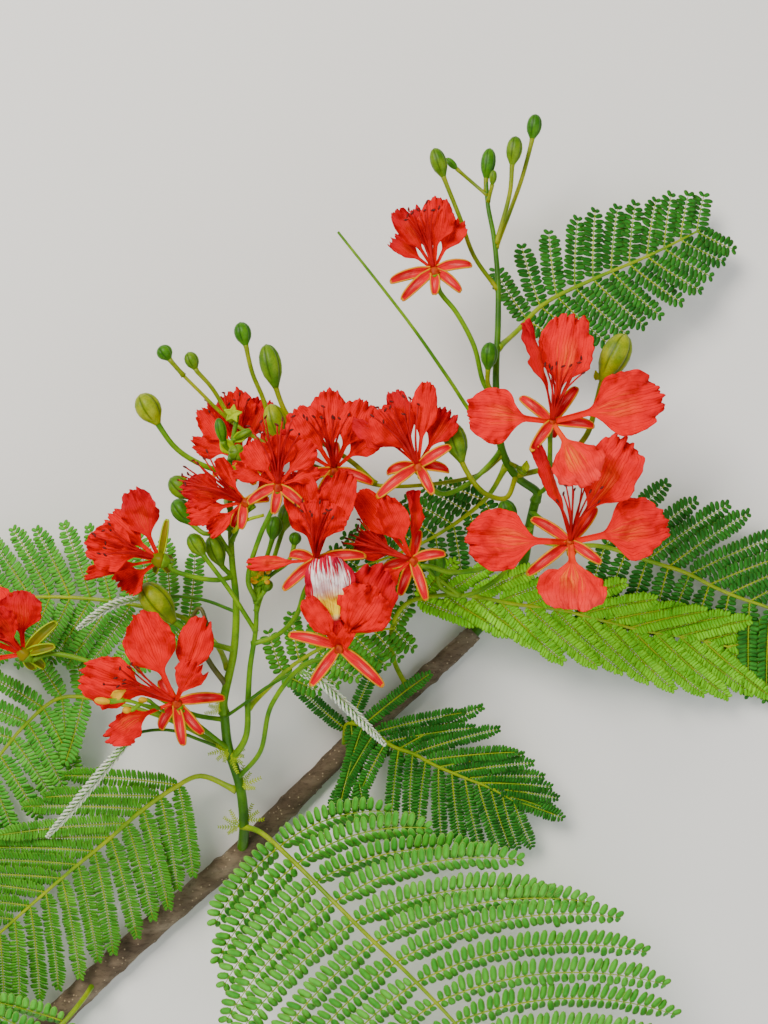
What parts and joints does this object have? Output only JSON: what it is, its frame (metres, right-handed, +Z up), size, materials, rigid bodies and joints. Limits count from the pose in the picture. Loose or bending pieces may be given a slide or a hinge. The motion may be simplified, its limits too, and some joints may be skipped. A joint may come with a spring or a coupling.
{
  "type": "cut flame tree branch",
  "caption": "Cut flowering branch laid flat: a bark-covered limb with green shoots, stalks of buds, scarlet blooms with clawed petals, and feathery bipinnate leaves.",
  "frame": {"origin": "on the ground, under the middle of the whole branch as it lies", "axes": "+X across the page of the picture to the right, +Y up the page, +Z up off the ground towards the camera"},
  "size_m": [0.6188, 0.5974, 0.1275],
  "materials": {
    "bark": "rough brown bark",
    "green_stalk": "smooth green skin",
    "petal": "satin petal",
    "young_leaf": "downy young leaf",
    "leaf": "soft matt leaf",
    "leaf_bright": "soft matt leaf, lit through",
    "leaf_dark": "soft matt leaf, in shade"
  },
  "bodies": {
    "root": {"branch": "bark", "shoot_right": "green_stalk", "shoot_left": "green_stalk", "raceme_left": "green_stalk", "raceme_middle": "green_stalk", "raceme_right": "green_stalk", "stalk_cross": "green_stalk", "stalk_arching": "green_stalk", "stalk_curled": "green_stalk", "bloom_a": "petal", "bloom_b": "petal", "bloom_c": "petal", "bloom_d": "petal", "bloom_e": "petal", "bloom_f": "petal", "bloom_g": "petal", "bloom_h": "petal", "bloom_i": "petal", "bloom_j": "petal", "bloom_k": "petal", "bloom_l": "petal", "bloom_m": "petal", "bloom_n": "petal", "young_leaf_right": "young_leaf", "young_leaf_low": "young_leaf", "young_leaf_left": "young_leaf", "leaf_front": "leaf", "leaf_corner": "leaf", "leaf_low_left": "leaf", "leaf_mid_left": "leaf", "leaf_high_left": "leaf", "leaf_bright": "leaf_bright", "leaf_lower": "leaf_dark", "leaf_right": "leaf_dark", "leaf_middle": "leaf", "leaf_upper": "leaf_dark", "leaf_behind": "leaf_dark"}
  },
  "joints": []
}
